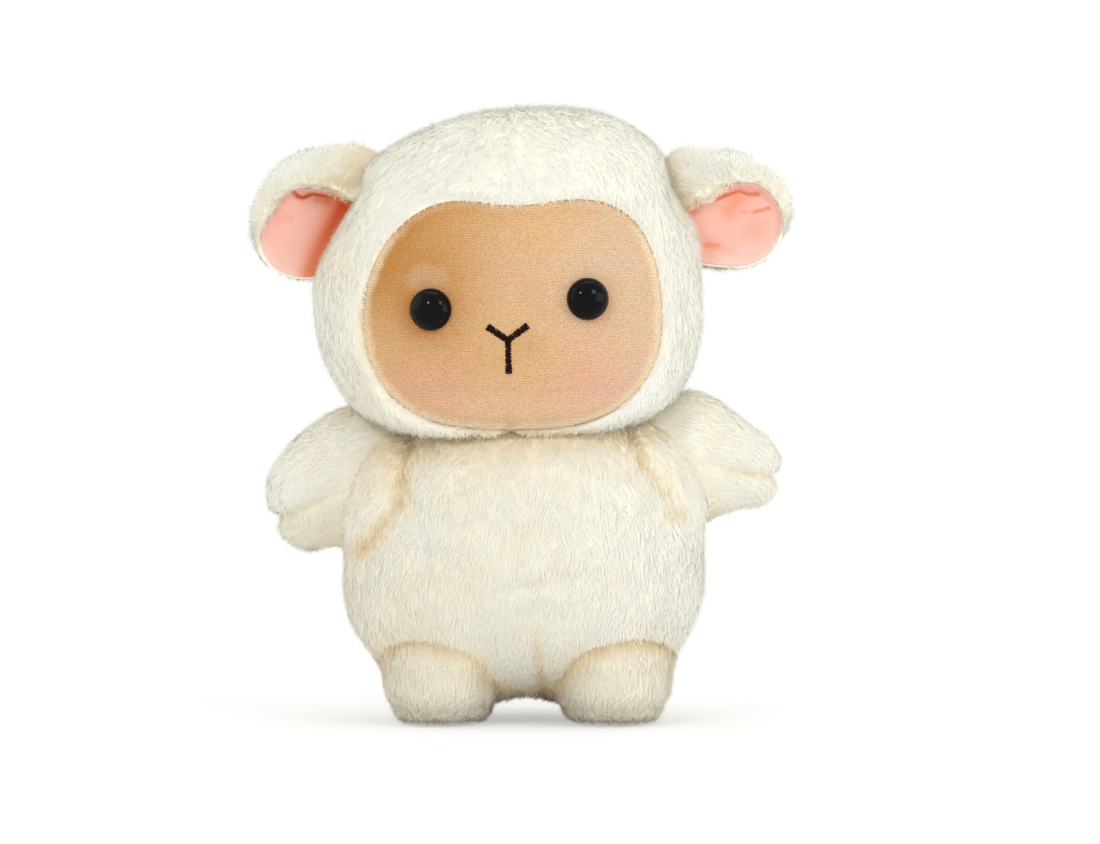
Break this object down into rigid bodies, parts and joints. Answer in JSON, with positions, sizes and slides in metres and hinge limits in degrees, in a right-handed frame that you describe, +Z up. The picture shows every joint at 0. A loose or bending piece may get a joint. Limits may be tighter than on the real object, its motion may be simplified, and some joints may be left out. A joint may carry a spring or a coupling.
{
  "type": "plush sheep",
  "caption": "Stuffed sheep standing on two stub feet, with a hooded round head, short-pile face, drooping lined ears and mitten arms.",
  "frame": {"origin": "middle of the standing toy's box, on the floor under the soles", "axes": "+Z up, the face and toes towards -Y, +X to the sheep's own left"},
  "size_m": [0.2106, 0.126, 0.235],
  "materials": {
    "plush": "matte",
    "face_plush": "matte",
    "ear_lining": "matte",
    "filling": "matte",
    "pouch_cloth": "matte",
    "thread": "satin",
    "eye": "gloss",
    "washer": "satin"
  },
  "bodies": {
    "torso": {"torso_front": "plush", "torso_back": "plush", "torso_filling": "filling", "pellet_pouch": "pouch_cloth", "tail": "plush"},
    "head": {"hood_left": "plush", "hood_right": "plush", "face_panel": "face_plush", "head_filling": "filling", "nose_embroidery": "thread", "eye_left": "eye", "eye_right": "eye", "eye_washer_left": "washer", "eye_washer_right": "washer"},
    "ear_left": {"ear_back_left": "plush", "ear_lining_left": "ear_lining"},
    "ear_right": {"ear_back_right": "plush", "ear_lining_right": "ear_lining"},
    "arm_left": {"arm_upper_left": "plush", "arm_lower_left": "plush", "arm_filling_left": "filling"},
    "arm_right": {"arm_upper_right": "plush", "arm_lower_right": "plush", "arm_filling_right": "filling"},
    "foot_left": {"foot_upper_left": "plush", "foot_sole_left": "plush", "foot_filling_left": "filling"},
    "foot_right": {"foot_upper_right": "plush", "foot_sole_right": "plush", "foot_filling_right": "filling"}
  },
  "joints": [
    {"name": "head_nod", "type": "hinge", "parent": "torso", "child": "head", "pos_m": [-0.00362, -0.00363, 0.158], "axis": [1, 0, 0], "range_deg": [-6, 6], "stiffness_Nm_per_rad": 0.8},
    {"name": "ear_flop_left", "type": "hinge", "parent": "head", "child": "ear_left", "pos_m": [0.05418, 0.00037, 0.19553], "axis": [0, -1, 0], "range_deg": [-10, 10], "stiffness_Nm_per_rad": 0.05},
    {"name": "ear_flop_right", "type": "hinge", "parent": "head", "child": "ear_right", "pos_m": [-0.06331, 0.00037, 0.19245], "axis": [0, 1, 0], "range_deg": [-10, 10], "stiffness_Nm_per_rad": 0.05},
    {"name": "arm_swing_left", "type": "hinge", "parent": "torso", "child": "arm_left", "pos_m": [0.05866, 0.00037, 0.1], "axis": [0, -1, 0], "range_deg": [-10, 20], "stiffness_Nm_per_rad": 0.25},
    {"name": "arm_swing_right", "type": "hinge", "parent": "torso", "child": "arm_right", "pos_m": [-0.05667, 0.00037, 0.094], "axis": [0, 1, 0], "range_deg": [-10, 20], "stiffness_Nm_per_rad": 0.25},
    {"name": "foot_swing_left", "type": "hinge", "parent": "torso", "child": "foot_left", "pos_m": [0.03498, -0.01263, 0.023], "axis": [-1, 0, 0], "range_deg": [-8, 8], "stiffness_Nm_per_rad": 2},
    {"name": "foot_swing_right", "type": "hinge", "parent": "torso", "child": "foot_right", "pos_m": [-0.03032, -0.01263, 0.023], "axis": [-1, 0, 0], "range_deg": [-8, 8], "stiffness_Nm_per_rad": 2}
  ]
}
